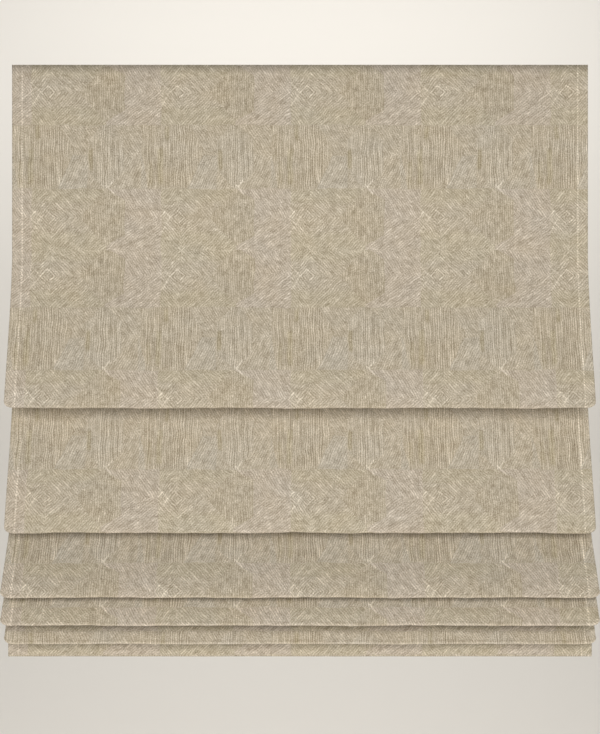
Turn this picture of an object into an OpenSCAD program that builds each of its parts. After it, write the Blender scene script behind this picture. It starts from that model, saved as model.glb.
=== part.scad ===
// Lined roman blind on an aluminium headrail, drawn partly raised with its folds hanging in steps.
// Millimetres. +Z is up, the room is on the -Y side and the window on the +Y side.
// The origin is the middle of the screw pattern, on the ceiling face of the two brackets.

/* [Cloth] */
// Finished width of the blind
blind_w = 900; // [700:10:1800]
// Thickness of the face cloth
cloth_t = 1; // [0.6:0.1:1.6]
// Thickness of the lining
lining_t = 0.6; // [0.4:0.1:1]
// Air between face cloth and lining
ply_gap = 0.3; // [0.1:0.1:0.8]
// Width of the hem turned back down each side
side_hem = 16; // [10:1:30]
// Height of the pocket hem round the bottom bar
bottom_hem = 36; // [32:1:60]

/* [Folds] */
// Drop from the top edge to the lower edge of the top panel
top_panel = 534.5; // [420:0.5:700]
// Visible height of the second panel
strip_2 = 190; // [140:1:240]
// Visible height of the third panel
strip_3 = 94; // [70:1:120]
// Visible height of the fourth panel
strip_4 = 42; // [34:1:56]
// Visible height of the fifth panel
strip_5 = 33; // [28:1:44]
// Visible height of the loose flap
flap_show = 25; // [18:1:36]
// How far the first fold stands out from the top panel
reach_1 = 49; // [40:1:60]
// How far the second fold stands out
reach_2 = 49; // [40:1:60]
// How far the third fold stands out
reach_3 = 72; // [60:1:85]
// How far the fourth fold stands out
reach_4 = 72; // [60:1:85]
// How far the fifth fold stands out
reach_5 = 49; // [42:1:58]
// How far the flap stands out
flap_reach = 24; // [18:1:30]
// Radius left inside the lower edge of folds one and two
nose_r = 1.6; // [1.2:0.2:8]
// Radius left inside the lower edge of folds three and four
mid_nose_r = 1.6; // [1.2:0.2:6]
// Radius left inside the lower edge of fold five
low_nose_r = 1.2; // [1:0.2:4]
// Bend radius of the cloth under a rod
crest_r = 3; // [2.5:0.5:4]
// How far the lifted rods lie behind the top panel
crest_back = 6; // [4:0.5:8]

/* [Rods] */
// Diameter of a rod
rod_d = 4; // [3:0.5:5]
// Drop from the top edge to the first rod, which hangs in the flat cloth
rod_drop = 273; // [220:1:320]
// Height of the second rod above the lower edge of the first fold
rod_lap_1 = 66; // [54:1:80]
// Height of the third rod above the lower edge of the second fold
rod_lap_2 = 69; // [56:1:82]
// Height of the fourth rod above the lower edge of the third fold
rod_lap_3 = 111; // [100:1:122]
// Height of the fifth rod above the lower edge of the fourth fold
rod_lap_4 = 108; // [102:1:114]
// Height of the sixth rod above the lower edge of the fifth fold
rod_lap_5 = 101; // [92:1:106]
// Play of a rod in its sewn pocket
pocket_play = 0.8; // [0.6:0.1:1.2]
// Length of a rod's end cap
rod_cap_l = 12; // [8:1:18]
// Wall of a rod's end cap
rod_cap_wall = 0.4; // [0.3:0.05:0.5]

/* [Bottom bar] */
// Height of the bottom bar
bar_h = 26; // [18:1:30]
// Thickness of the bottom bar
bar_t = 3; // [2:0.5:5]
// Distance from each side of the cloth to the bar's end cap
bar_inset = 3; // [1:0.5:10]
// Thickness of the cap on each end of the bar
bar_cap_t = 3; // [2:0.5:6]

/* [Headrail] */
// Depth of the headrail
rail_d = 40; // [38:1:50]
// Height of the headrail
rail_h = 27; // [26:0.5:34]
// Wall of the headrail
rail_wall = 1.4; // [1:0.1:2]
// Width of the lips that turn in along its open top
rail_lip = 7; // [5:0.5:9]
// Depth of the groove for the hook tape
tape_groove = 0.6; // [0.3:0.1:0.8]
// Height of the hook and loop tapes
tape_h = 20; // [14:1:22]
// Thickness of the hook tape
hook_t = 1.6; // [1.2:0.1:2.4]
// Thickness of the loop tape
loop_t = 1.2; // [0.8:0.1:2]

/* [Brackets] */
// Thickness of the bracket's steel
bracket_t = 1.5; // [1:0.1:2]
// Length of a bracket along the headrail
bracket_l = 34; // [26:1:50]
// Distance between the two brackets, hole to hole
bracket_pitch = 500; // [400:10:600]
// Distance between the two screw holes of a bracket
screw_pitch = 14; // [10:1:16]
// Diameter of the screw holes
screw_d = 4.5; // [3.5:0.5:5]

/* [Lift] */
// Distance from each side of the cloth to the outer cords
cord_inset = 100; // [80:5:140]
// Diameter of a lift cord
cord_d = 1.4; // [1:0.1:1.8]
// Distance that the cords hang behind the lifted rods
cord_back = 8.6; // [8:0.1:11]
// Radius of a spool's drum
drum_r = 8; // [7:0.5:8.5]
// Radius of a spool's flanges
flange_r = 10.2; // [10:0.1:10.6]
// Length of the drum between its flanges
drum_l = 30; // [26:1:36]
// Thickness of a spool's flange
flange_t = 1.5; // [1:0.25:2]
// Radius of a spool's journals
journal_r = 4.5; // [4:0.25:5.5]
// Width of the square drive shaft
shaft_w = 5; // [4:0.25:5]
// Thickness of the cradle's walls
cradle_wall = 2.6; // [2:0.2:3.4]
// Thickness of the cradle's floor
cradle_floor = 1.2; // [1:0.1:1.6]

/* [Cord clips] */
// Length of a clip along its rod
clip_l = 8; // [6:1:12]
// Wall of a clip round its rod
clip_wall = 1.4; // [1:0.1:1.8]
// Bore of the eye that the cord runs through
eye_d = 4.6; // [4:0.2:6]
// Wall of the eye
eye_wall = 1.6; // [1.2:0.1:2]
// Height of the eye
eye_h = 3; // [2:0.25:4]
// Length of a cord stop
stop_l = 10; // [8:1:14]

/* [Drive] */
// Thickness of the end cap's plate
end_cap_t = 4; // [3:0.5:6]
// Width of the drive housing along the headrail, with its cover
drive_w = 17; // [16.5:0.5:22]
// Thickness of the drive's cover
cover_t = 2; // [1.5:0.25:2.5]
// Depth that the end pieces plug into the headrail
plug_l = 12; // [8:1:16]
// Radius of the chain wheel
wheel_r = 11; // [10.4:0.1:11.2]
// Number of bead pockets round the chain wheel
wheel_pockets = 12; // [9:1:13]
// Diameter of a chain bead
bead_d = 4.5; // [3.5:0.25:4.5]
// Wire of the wrap spring
spring_wire = 1; // [0.6:0.1:1.1]

/* [Hidden] */
$fn = 48;

// Clearance between pieces that don't touch, and running clearance of a journal
clear = 0.4;
run = 0.08;
eps = 0.01;

// Headrail and its tapes
rail_top = -bracket_t;
rail_floor = rail_top - rail_h + rail_wall;
rail_left = -blind_w / 2 + end_cap_t;
rail_right = blind_w / 2 - drive_w;
inner_d = rail_d - 2 * rail_wall;
tape_z = rail_top - rail_h / 2;
hook_back = -rail_d / 2 + tape_groove;
hook_front = hook_back - hook_t;
loop_front = hook_front - loop_t;

// Middle of the face cloth in the flat top panel
head_y = loop_front - lining_t - ply_gap - cloth_t / 2;
back_of_face = cloth_t / 2 + ply_gap;
lifted_rod_y = head_y + crest_back;

// Line that the cords hang on, and the drive axis behind it
turn_r = drum_r + 0.3;
cord_y = lifted_rod_y + cord_back;
cord_x = [-blind_w / 2 + cord_inset, 0, blind_w / 2 - cord_inset];
axis_y = cord_y + turn_r + cord_d / 2;
axis_z = rail_floor + cradle_floor + clear + flange_r;
lining_w = blind_w - 2 * (side_hem + 1);

// Lower edges of the folds, and the rods above them
nose_z = [
  rail_top - top_panel,
  rail_top - top_panel - strip_2,
  rail_top - top_panel - strip_2 - strip_3,
  rail_top - top_panel - strip_2 - strip_3 - strip_4,
  rail_top - top_panel - strip_2 - strip_3 - strip_4 - strip_5
];
flap_z = nose_z[4] - flap_show;
reach = [reach_1, reach_2, reach_3, reach_4, reach_5];
ply_t = back_of_face + lining_t;
bend = [for (r = [nose_r, nose_r, mid_nose_r, mid_nose_r, low_nose_r]) r + ply_t];
pocket_r = rod_d / 2 + pocket_play;
pocket_out = pocket_r + lining_t;
rod_z = [
  rail_top - rod_drop,
  nose_z[0] + rod_lap_1,
  nose_z[1] + rod_lap_2,
  nose_z[2] + rod_lap_3,
  nose_z[3] + rod_lap_4,
  nose_z[4] + rod_lap_5
];
upper_rod_y = head_y + back_of_face + pocket_out;
rod_y = [upper_rod_y, lifted_rod_y, lifted_rod_y, lifted_rod_y, lifted_rod_y, lifted_rod_y];
rod_l = lining_w - 2 * rod_cap_l;
crest_z = [for (i = [1:5]) rod_z[i] - pocket_out - back_of_face - crest_r];

// Pocket hem round the bottom bar
hem_r = bar_t / 2 + clear + cloth_t / 2;
bar_y = head_y - flap_reach + hem_r;
bar_z = flap_z + hem_r;
bar_l = blind_w - 2 * (bar_inset + bar_cap_t);

// Drive unit
plate_t = 2;
hub_r = 3.9;
boss_r = 5.4;
spring_r = boss_r + run + spring_wire / 2;
seat_r = spring_r + spring_wire / 2 + 0.5;
seat_l = 2.4;
hub_flange_t = 1.6;
cavity_l = drive_w - plate_t - cover_t;
cavity_r = wheel_r + clear;
wheel_l = cavity_l - 2 * clear;
boss_l = wheel_l - hub_flange_t - clear;

// Points of a curve from a to d that leaves towards b and arrives from c, without its first point
function curve(a, b, c, d, n) = [
  for (i = [1:n]) let (t = i / n, s = 1 - t)
    s * s * s * a + 3 * s * s * t * b + 3 * s * t * t * c + t * t * t * d
];

// Points of an arc round c, without its first point
function arc(c, r, from, to, n) = [
  for (i = [1:n]) let (a = from + (to - from) * i / n) c + r * [cos(a), sin(a)]
];

// The cloth's path is drawn as [distance in front of the top panel, height]
// Front ply of a fold: slopes out gently below its rod, then swells to the fold's front
function front_ply(a, b) = let (d = b - a)
  curve(a, a + [0.18 * d[0], 0.4 * d[1]], a + [0.95 * d[0], 0.86 * d[1]], b, 10);

// Back ply of a fold: leaves the lower edge on a slope and rises to the next rod
nose_turn = 145;
function back_ply(a, b) = let (
    d = b - a,
    away = 0.3 * norm(d) * [-sin(nose_turn), -cos(nose_turn)]
  )
  curve(a, a + away, b - [0, 0.35 * d[1]], b, 8);

function crest(i) = [-crest_back, crest_z[i]];
function ply_start(i) = i == 0 ? [0, rod_z[0]] : crest(i - 1) - [crest_r, 0];
function fold(i) =
  let (
    tip = [reach[i], nose_z[i] + bend[i]],
    centre = tip - [bend[i], 0],
    heel = centre + bend[i] * [cos(nose_turn), -sin(nose_turn)]
  )
  concat(
    front_ply(ply_start(i), tip),
    arc(centre, bend[i], 0, -nose_turn, 10),
    back_ply(heel, crest(i) + [crest_r, 0]),
    arc(crest(i), crest_r, 0, 180, 8)
  );

flap_top = [flap_reach, flap_z + bottom_hem + 6];
lined_path = concat(
  [[0, rail_top], [0, rod_z[0]]],
  [for (i = [0:4]) each fold(i)],
  front_ply(ply_start(5), flap_top)
);
hem_path = concat(
  [[flap_reach, bar_z]],
  arc([flap_reach - hem_r, bar_z], hem_r, 0, -180, 10),
  [[flap_reach - 2 * hem_r, flap_z + bottom_hem]]
);
face_path = concat(lined_path, hem_path);

// The path moved d towards its back, as [y, z] in the blind's frame
function moved(path, d) = let (last = len(path) - 1) [
  for (i = [0:last])
    let (
      t = path[min(i + 1, last)] - path[max(i - 1, 0)],
      p = path[i] + d * [t[1], -t[0]] / norm(t)
    )
    [head_y - p[0], p[1]]
];
function reversed(list) = [for (i = [len(list) - 1:-1:0]) list[i]];

// Section of a layer of cloth that lies from d1 to d2 behind the path
module layer(path, d1, d2) {
  polygon(concat(moved(path, d1), reversed(moved(path, d2))));
}

// Extrudes a [y, z] section along X, centred on x
module along_x(x, length) {
  translate([x - length / 2, 0, 0])
    rotate([90, 0, 90])
      linear_extrude(length)
        children();
}

// A cylinder along X from x1 to x2 on the axis through y, z
module rod_x(x1, x2, y, z, r) {
  translate([x1, y, z])
    rotate([0, 90, 0])
      cylinder(r = r, h = x2 - x1);
}

// A block between two corners
module block(a, b) {
  translate(a)
    cube(b - a);
}

// A square bore or bar along X on the drive axis
module square_x(x1, x2, w) {
  block([x1, axis_y - w / 2, axis_z - w / 2], [x2, axis_y + w / 2, axis_z + w / 2]);
}

// Outline of the headrail's ends
module rail_outline() {
  translate([-rail_d / 2, rail_top - rail_h])
    square([rail_d, rail_h]);
}

// Outline of what plugs into the headrail's end, below its lips
module plug_outline() {
  translate([-inner_d / 2 + clear, rail_floor + clear])
    square([inner_d - 2 * clear, rail_top - rail_wall - rail_floor - 2 * clear]);
}

// Open-topped channel with turned-in lips, a groove for the hook tape and a hole for each cord
module headrail() {
  color("#c9cbcc")
    difference() {
      along_x((rail_left + rail_right) / 2, rail_right - rail_left)
        difference() {
          rail_outline();
          translate([-inner_d / 2, rail_floor])
            square([inner_d, rail_h - 2 * rail_wall]);
          translate([-rail_d / 2 + rail_lip, rail_floor])
            square([rail_d - 2 * rail_lip, rail_h]);
          translate([-rail_d / 2 - 1, tape_z - tape_h / 2 - clear])
            square([1 + tape_groove, tape_h + 2 * clear]);
        }
      for (x = cord_x)
        translate([x, cord_y, rail_top - rail_h - 1])
          cylinder(r = snout_r + clear, h = rail_wall + 2);
    }
}

// Snap-in bracket: a plate on the lips, with two legs whose feet spring out below them
module bracket(x) {
  slot = rail_d / 2 - rail_lip;
  foot_z = rail_top - rail_wall - clear;
  color("#9a9da0")
    difference() {
      union() {
        block([x - bracket_l / 2, -rail_d / 2 + 2, rail_top], [x + bracket_l / 2, rail_d / 2 - 2, 0]);
        for (s = [0, 1])
          mirror([0, s, 0])
            translate([x, 0, 0]) {
              block(
                [-bracket_l / 2, slot - clear - bracket_t, foot_z - bracket_t],
                [bracket_l / 2, slot - clear, rail_top + eps]
              );
              block(
                [-bracket_l / 2, slot - clear - eps, foot_z - bracket_t],
                [bracket_l / 2, slot + 3, foot_z]
              );
            }
      }
      for (y = [-1, 1])
        translate([x, y * screw_pitch / 2, rail_top - 1])
          cylinder(d = screw_d, h = bracket_t + 2);
      // Slot that lets the rear leg spring
      block([x - 5, slot - clear - bracket_t - 1.2, rail_top - 1], [x + 5, slot - clear - bracket_t, 1]);
    }
}

module bracket_left() bracket(-bracket_pitch / 2);
module bracket_right() bracket(bracket_pitch / 2);

// End cap with a ribbed plug and the bearing of the shaft's end bush
bush_r = 5;
bush_l = plug_l - 2;
module end_cap() {
  x0 = -blind_w / 2;
  color("#e9e7e2")
    difference() {
      union() {
        along_x(x0 + end_cap_t / 2, end_cap_t)
          rail_outline();
        along_x(rail_left + plug_l / 2 - eps, plug_l)
          difference() {
            plug_outline();
            translate([-inner_d / 2 + 2.5, rail_floor + 2.5])
              square([inner_d - 5, rail_h - 2 * rail_wall - 5]);
          }
        rod_x(rail_left - eps, rail_left + plug_l, axis_y, axis_z, bush_r + 2);
        block([rail_left - eps, -inner_d / 2 + 1, axis_z - 1], [rail_left + plug_l, inner_d / 2 - 1, axis_z + 1]);
      }
      rod_x(rail_left, rail_left + plug_l + 1, axis_y, axis_z, bush_r + run);
    }
}

// Bush on the idle end of the shaft
module shaft_bush() {
  color("#f1efe9")
    difference() {
      rod_x(rail_left + clear, rail_left + clear + bush_l, axis_y, axis_z, bush_r);
      square_x(rail_left - 1, rail_left + bush_l + 2, shaft_w + 2 * run);
    }
}

// Drive housing: plugs into the headrail, carries the fixed boss and opens downwards for the chain
module drive_housing() {
  x0 = rail_right;
  color("#e9e7e2")
    difference() {
      union() {
        along_x(x0 + (drive_w - cover_t) / 2, drive_w - cover_t)
          rail_outline();
        along_x(x0 - plug_l / 2 + eps, plug_l)
          difference() {
            plug_outline();
            translate([-inner_d / 2 + 2.5, rail_floor + 2.5])
              square([inner_d - 5, rail_h - 2 * rail_wall - 5]);
          }
        rod_x(x0 - plug_l, x0 + eps, axis_y, axis_z, hub_r + 2);
      }
      difference() {
        union() {
          rod_x(x0 + plate_t, x0 + drive_w, axis_y, axis_z, cavity_r);
          block(
            [x0 + plate_t + clear, axis_y - cavity_r, rail_top - rail_h - 1],
            [x0 + plate_t + clear + wheel_l, axis_y + cavity_r, axis_z]
          );
        }
        rod_x(x0, x0 + plate_t + clear + boss_l, axis_y, axis_z, boss_r);
        rod_x(x0, x0 + plate_t + clear + seat_l, axis_y, axis_z, seat_r);
      }
      rod_x(x0 - plug_l - 1, x0 + drive_w, axis_y, axis_z, hub_r + run);
      for (y = screw_y)
        rod_x(x0 + drive_w - cover_t - 7, x0 + drive_w, y, screw_z, cover_screw_r);
    }
}

// The cover's screws stand in the corners above the chain wheel
cover_screw_r = 1.2;
cover_head_r = 2.2;
screw_inset = cover_head_r + 1.4;
screw_y = [-rail_d / 2 + screw_inset, rail_d / 2 - screw_inset];
screw_z = rail_top - screw_inset;

// Cover over the chain wheel, with a countersunk hole for each screw
module drive_cover() {
  x1 = blind_w / 2;
  color("#e9e7e2")
    difference() {
      along_x(x1 - cover_t / 2, cover_t)
        rail_outline();
      for (y = screw_y) {
        rod_x(x1 - cover_t - 1, x1 + 1, y, screw_z, cover_screw_r + run);
        rod_x(x1 - cover_t / 2, x1 + 1, y, screw_z, cover_head_r + run);
      }
    }
}

// Two self-tapping screws, their heads sunk level with the cover
module cover_screws() {
  x1 = blind_w / 2;
  color("#8d9093")
    for (y = screw_y)
      difference() {
        union() {
          rod_x(x1 - cover_t - 6, x1 - cover_t / 2 + eps, y, screw_z, cover_screw_r - 0.05);
          rod_x(x1 - cover_t / 2, x1 - 0.1, y, screw_z, cover_head_r);
        }
        block([x1 - 0.6, y - 1.5, screw_z - 0.25], [x1, y + 1.5, screw_z + 0.25]);
        block([x1 - 0.6, y - 0.25, screw_z - 1.5], [x1, y + 0.25, screw_z + 1.5]);
      }
}

// Hub that passes through the boss and drives the square shaft
module output_hub() {
  x0 = rail_right;
  x2 = x0 + plate_t + clear + boss_l;
  color("#f1efe9")
    difference() {
      union() {
        rod_x(x0 - plug_l, x2 + clear + eps, axis_y, axis_z, hub_r);
        rod_x(x2 + clear, x2 + clear + hub_flange_t - 0.4, axis_y, axis_z, seat_r - clear);
      }
      square_x(x0 - plug_l - 1, x0 + plate_t, shaft_w + 2 * run);
    }
}

// Chain wheel: turns on the seat at the boss's root, with pockets for the beads round its rim
module chain_wheel() {
  x0 = rail_right + plate_t + clear;
  mid = x0 + wheel_l / 2;
  color("#f1efe9")
    difference() {
      rod_x(x0, x0 + wheel_l, axis_y, axis_z, wheel_r);
      rod_x(x0 - 1, x0 + wheel_l + 1, axis_y, axis_z, seat_r + run);
      for (i = [0:wheel_pockets - 1])
        translate([mid, axis_y, axis_z])
          rotate([i * 360 / wheel_pockets, 0, 0])
            translate([0, wheel_r - bead_d / 2, 0])
              rotate([-90, 0, 0])
                cylinder(d = bead_d + 0.2, h = bead_d);
      // Groove for the links between the beads
      difference() {
        rod_x(mid - 0.8, mid + 0.8, axis_y, axis_z, wheel_r + 1);
        rod_x(mid - 1, mid + 1, axis_y, axis_z, wheel_r - 0.9);
      }
    }
}

// Wrap spring: close turns of wire on the boss that lock the load and let the wheel drive
module wrap_spring() {
  x0 = rail_right + plate_t + clear + seat_l + clear;
  pitch = spring_wire + 0.12;
  length = boss_l - seat_l - 2 * clear - spring_wire;
  turns = floor(length / pitch);
  sides = 10;
  steps = turns * 24;
  rings = [
    for (i = [0:steps])
      let (a = i * 15, x = x0 + spring_wire / 2 + pitch * a / 360)
      for (k = [0:sides - 1])
        let (b = k * 360 / sides, r = spring_r + spring_wire / 2 * cos(b))
        [x + spring_wire / 2 * sin(b), axis_y + r * cos(a), axis_z + r * sin(a)]
  ];
  sides_list = [
    for (i = [0:steps - 1], k = [0:sides - 1])
      let (n = (k + 1) % sides)
      [i * sides + k, (i + 1) * sides + k, (i + 1) * sides + n, i * sides + n]
  ];
  ends = [
    [for (k = [0:sides - 1]) k],
    [for (k = [sides - 1:-1:0]) steps * sides + k]
  ];
  color("#7b7f83")
    polyhedron(points = rings, faces = concat(sides_list, ends));
}

// Square bar that carries the spools from the end bush to the output hub
module drive_shaft() {
  color("#a7abae")
    square_x(rail_left + 2 * clear, rail_right + plate_t - clear, shaft_w);
}

// Spool on the shaft: drum between two flanges, a journal at each end
spool_start = -flange_t - 1.5;
spool_end = spool_start + 2 * flange_t + drum_l;
journal_l = cradle_wall + clear;
module spool(x) {
  color("#f1efe9")
    difference() {
      union() {
        rod_x(x + spool_start - journal_l, x + spool_end + journal_l, axis_y, axis_z, journal_r);
        rod_x(x + spool_start, x + spool_end, axis_y, axis_z, drum_r);
        rod_x(x + spool_start, x + spool_start + flange_t, axis_y, axis_z, flange_r);
        rod_x(x + spool_end - flange_t, x + spool_end, axis_y, axis_z, flange_r);
      }
      square_x(x + spool_start - journal_l - 1, x + spool_end + journal_l + 1, shaft_w + 2 * run);
    }
}

module spool_left() spool(cord_x[0]);
module spool_centre() spool(cord_x[1]);
module spool_right() spool(cord_x[2]);

// Cradle clipped into the headrail: two bearing walls, a floor and a snout that leads the cord out
snout_r = cord_d / 2 + 2.4;
module cradle(x) {
  half = inner_d / 2 - clear;
  left = x + spool_start - clear - cradle_wall;
  right = x + spool_end + clear + cradle_wall;
  wall_top = rail_top - rail_wall - clear;
  color("#e9e7e2")
    difference() {
      union() {
        block([left, -half, rail_floor], [right, half, rail_floor + cradle_floor]);
        for (x1 = [left, right - cradle_wall])
          block([x1, -half, rail_floor], [x1 + cradle_wall, half, wall_top]);
        for (s = [0, 1])
          mirror([0, s, 0])
            block([left, half - 1.5, rail_floor], [right, half, rail_floor + 8]);
        translate([x, cord_y, rail_top - rail_h - 1.5])
          cylinder(r = snout_r, h = rail_wall + 1.5 + eps);
      }
      rod_x(left - 1, right + 1, axis_y, axis_z, journal_r + run);
      // Mouths that let the spool's journals snap in from above
      block(
        [left - 1, axis_y - journal_r + 0.6, axis_z],
        [right + 1, axis_y + journal_r - 0.6, wall_top + 1]
      );
      translate([x, cord_y, rail_top - rail_h - 3])
        cylinder(r = cord_d / 2 + 0.8, h = 12);
    }
}

module cradle_left() cradle(cord_x[0]);
module cradle_centre() cradle(cord_x[1]);
module cradle_right() cradle(cord_x[2]);

// Hook tape stuck into the headrail's groove, and the loop tape sewn to the head of the cloth
module hook_tape() {
  color("#efece5")
    block(
      [rail_left, hook_front, tape_z - tape_h / 2],
      [rail_right, hook_back, tape_z + tape_h / 2]
    );
}

module loop_tape() {
  color("#f3f0e9")
    block(
      [rail_left, loop_front, tape_z - tape_h / 2],
      [rail_right, hook_front, tape_z + tape_h / 2]
    );
}

// Face cloth in its folds, doubled where it is turned back at the sides, with the bottom pocket hem
module face_fabric() {
  color("#c3b8a3")
    union() {
      along_x(0, blind_w)
        layer(face_path, -cloth_t / 2, cloth_t / 2);
      for (s = [-1, 1])
        along_x(s * (blind_w - side_hem) / 2, side_hem)
          layer(lined_path, 0, ply_t);
    }
}

// Lining behind the face cloth, with a sewn pocket for each rod, open at the cord clips
module lining() {
  gap = clip_l + 4;
  color("#ece7dc")
    difference() {
      along_x(0, lining_w)
        difference() {
          union() {
            layer(lined_path, back_of_face, ply_t);
            for (i = [0:5])
              translate([rod_y[i], rod_z[i]])
                circle(r = pocket_out);
          }
          for (i = [0:5])
            translate([rod_y[i], rod_z[i]])
              circle(r = pocket_r);
        }
      for (x = cord_x) {
        block(
          [x - gap / 2, rod_y[0] - pocket_r, rod_z[0] - pocket_out - 1],
          [x + gap / 2, rod_y[0] + pocket_out + 1, rod_z[0] + pocket_out + 1]
        );
        for (i = [1:5])
          block(
            [x - gap / 2, rod_y[i] - pocket_out - 1, rod_z[i] - pocket_r],
            [x + gap / 2, rod_y[i] + pocket_out + 1, rod_z[i] + pocket_out + 1]
          );
      }
    }
}

// Glass-fibre rod in the pocket with this number, counted from the top
module rod(i) {
  color("#e4e2d8")
    rod_x(-rod_l / 2, rod_l / 2, rod_y[i], rod_z[i], rod_d / 2);
}

module rod_1() rod(0);
module rod_2() rod(1);
module rod_3() rod(2);
module rod_4() rod(3);
module rod_5() rod(4);
module rod_6() rod(5);

// Soft caps pushed over both ends of a rod
module rod_caps(i) {
  over = 8;
  end = rod_l / 2 - over;
  color("#f1efe9")
    for (s = [0, 1])
      mirror([s, 0, 0])
        difference() {
          rod_x(end, end + rod_cap_l, rod_y[i], rod_z[i], rod_d / 2 + rod_cap_wall);
          rod_x(end - 1, rod_l / 2 + 0.1, rod_y[i], rod_z[i], rod_d / 2 + 0.03);
        }
}

module rod_caps_upper() rod_caps(0);
module rod_caps_lifted() {
  for (i = [1:5])
    rod_caps(i);
}

// Clips snapped over a rod, one at each cord; mouth turns the open side from down towards the room
module cord_clips(i, mouth) {
  neck = cord_y - rod_y[i];
  clip_r = rod_d / 2 + clip_wall;
  bite = rod_d / 2 - 0.3;
  color("#f4f2ec")
    for (x = cord_x)
      translate([x, rod_y[i], rod_z[i]])
        difference() {
          union() {
            rod_x(-clip_l / 2, clip_l / 2, 0, 0, clip_r);
            translate([0, neck, -eye_h / 2])
              cylinder(r = eye_d / 2 + eye_wall, h = eye_h);
            block([-1.5, rod_d / 2, -eye_h / 2], [1.5, neck - eye_d / 2, eye_h / 2]);
          }
          rod_x(-clip_l, clip_l, 0, 0, rod_d / 2 + 0.03);
          translate([0, neck, -eye_h])
            cylinder(d = eye_d, h = 2 * eye_h);
          rotate([mouth, 0, 0])
            block([-clip_l, -clip_r, -2 * clip_r], [clip_l, clip_r, -bite]);
        }
}

module cord_clips_1() cord_clips(0, -90);
module cord_clips_2() cord_clips(1, 0);
module cord_clips_3() cord_clips(2, 0);
module cord_clips_4() cord_clips(3, 0);
module cord_clips_5() cord_clips(4, 0);
module cord_clips_6() cord_clips(5, 0);

// Stops knotted on the cords under the lowest clips
stop_top = rod_z[5] - eye_h / 2 - clear;
module cord_stops() {
  color("#f4f2ec")
    for (x = cord_x)
      translate([x, cord_y, stop_top - stop_l])
        difference() {
          union() {
            cylinder(r1 = 2.2, r2 = 3.6, h = stop_l * 0.6 + eps);
            translate([0, 0, stop_l * 0.6])
              cylinder(r = 3.6, h = stop_l * 0.4);
          }
          translate([0, 0, -1])
            cylinder(r = cord_d / 2 + 0.3, h = stop_l + 2);
        }
}

// Lift cord: its turns on the drum as one sleeve, and the straight run down to its stop
module lift_cord(x) {
  turns_l = drum_l - 2;
  color("#f6f4ee")
    union() {
      difference() {
        rod_x(x - cord_d / 2, x - cord_d / 2 + turns_l, axis_y, axis_z, turn_r + cord_d);
        rod_x(x - cord_d, x + turns_l, axis_y, axis_z, turn_r);
      }
      translate([x, cord_y, stop_top - stop_l - 6])
        cylinder(d = cord_d, h = axis_z - (stop_top - stop_l - 6));
    }
}

module lift_cord_left() lift_cord(cord_x[0]);
module lift_cord_centre() lift_cord(cord_x[1]);
module lift_cord_right() lift_cord(cord_x[2]);

// Flat bar that keeps the lower edge straight, and a cap on each of its ends
module bottom_bar() {
  color("#b9bcbe")
    block([-bar_l / 2, bar_y - bar_t / 2, bar_z], [bar_l / 2, bar_y + bar_t / 2, bar_z + bar_h]);
}

module bottom_bar_caps() {
  color("#6f746f")
    for (s = [0, 1])
      mirror([s, 0, 0])
        union() {
          block(
            [bar_l / 2, bar_y - bar_t / 2, bar_z],
            [bar_l / 2 + bar_cap_t, bar_y + bar_t / 2, bar_z + bar_h]
          );
          rod_x(bar_l / 2, bar_l / 2 + bar_cap_t, bar_y, bar_z, bar_t / 2);
        }
}

headrail();
bracket_left();
bracket_right();
end_cap();
drive_housing();
drive_cover();
cover_screws();
cradle_left();
cradle_centre();
cradle_right();
hook_tape();
loop_tape();
face_fabric();
lining();
rod_1();
rod_2();
rod_3();
rod_4();
rod_5();
rod_6();
rod_caps_upper();
rod_caps_lifted();
cord_clips_1();
cord_clips_2();
cord_clips_3();
cord_clips_4();
cord_clips_5();
cord_clips_6();
cord_stops();
lift_cord_left();
lift_cord_centre();
lift_cord_right();
bottom_bar();
bottom_bar_caps();
drive_shaft();
spool_left();
spool_centre();
spool_right();
shaft_bush();
output_hub();
chain_wheel();
wrap_spring();
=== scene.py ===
import math

import bpy
import numpy as np
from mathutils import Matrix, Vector


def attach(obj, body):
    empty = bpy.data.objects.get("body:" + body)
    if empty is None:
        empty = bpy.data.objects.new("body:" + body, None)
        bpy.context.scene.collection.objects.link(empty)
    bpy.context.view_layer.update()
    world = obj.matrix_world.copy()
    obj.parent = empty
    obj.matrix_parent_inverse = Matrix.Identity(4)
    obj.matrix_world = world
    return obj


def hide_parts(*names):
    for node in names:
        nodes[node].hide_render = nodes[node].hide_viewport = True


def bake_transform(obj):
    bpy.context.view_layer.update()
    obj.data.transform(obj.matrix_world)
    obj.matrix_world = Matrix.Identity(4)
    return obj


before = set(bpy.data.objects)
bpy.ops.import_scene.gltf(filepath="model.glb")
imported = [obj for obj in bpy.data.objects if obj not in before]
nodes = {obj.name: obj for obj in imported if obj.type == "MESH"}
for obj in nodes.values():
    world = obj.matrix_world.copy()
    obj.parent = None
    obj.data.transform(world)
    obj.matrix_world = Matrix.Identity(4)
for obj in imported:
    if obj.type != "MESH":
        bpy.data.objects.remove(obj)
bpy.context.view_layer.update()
MM = 0.001

# Camera: level, square to the blind, and centred on the photograph's middle
PANEL_FACE_Y = -24.1 * MM
CAMERA_DISTANCE = 1.8
CAMERA_HEIGHT = -473.7 * MM
MM_PER_PIXEL = 1.5625
IMAGE_HEIGHT = 734
SENSOR = 36.0

camera_data = bpy.data.cameras.new("camera")
camera_data.sensor_width = SENSOR
camera_data.lens = SENSOR * CAMERA_DISTANCE / (IMAGE_HEIGHT * MM_PER_PIXEL * MM)
camera = bpy.data.objects.new("camera", camera_data)
camera.location = (0, PANEL_FACE_Y - CAMERA_DISTANCE, CAMERA_HEIGHT)
camera.rotation_euler = (math.pi / 2, 0, 0)
bpy.context.scene.collection.objects.link(camera)
bpy.context.scene.camera = camera

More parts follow.
